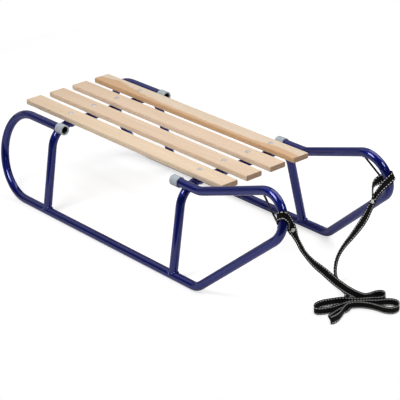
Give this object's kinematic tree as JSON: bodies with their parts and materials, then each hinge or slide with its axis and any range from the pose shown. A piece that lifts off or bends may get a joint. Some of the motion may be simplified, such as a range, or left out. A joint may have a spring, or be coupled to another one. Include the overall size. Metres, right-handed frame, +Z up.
{
  "type": "metal sled",
  "caption": "Tube sled: bent runners with rear loops and raised horns, splayed arches, a slatted wooden seat, plastic tube caps and a pulling strap on the horns.",
  "frame": {"origin": "on the floor, under the middle of the sled without its strap", "axes": "+X forwards along the runners to the horns, +Z up, +Y to the left"},
  "size_m": [1.023, 0.3634, 0.2575],
  "materials": {
    "blue_paint": "gloss",
    "beech": "satin",
    "grey_plastic": "matt",
    "keeper_steel": "satin",
    "webbing": "woven"
  },
  "bodies": {
    "root": {"runner_right": "blue_paint", "runner_left": "blue_paint", "arch_rear": "blue_paint", "arch_front": "blue_paint", "slat_1": "beech", "slat_2": "beech", "slat_3": "beech", "slat_4": "beech", "cap_rear_right": "grey_plastic", "cap_rear_left": "grey_plastic", "cap_front_right": "grey_plastic", "cap_front_left": "grey_plastic", "keeper_right": "keeper_steel", "keeper_left": "keeper_steel", "strap_loop_right": "webbing", "strap_loop_left": "webbing", "strap_run_right": "webbing", "strap_run_left": "webbing", "strap_hank": "webbing"}
  },
  "joints": []
}
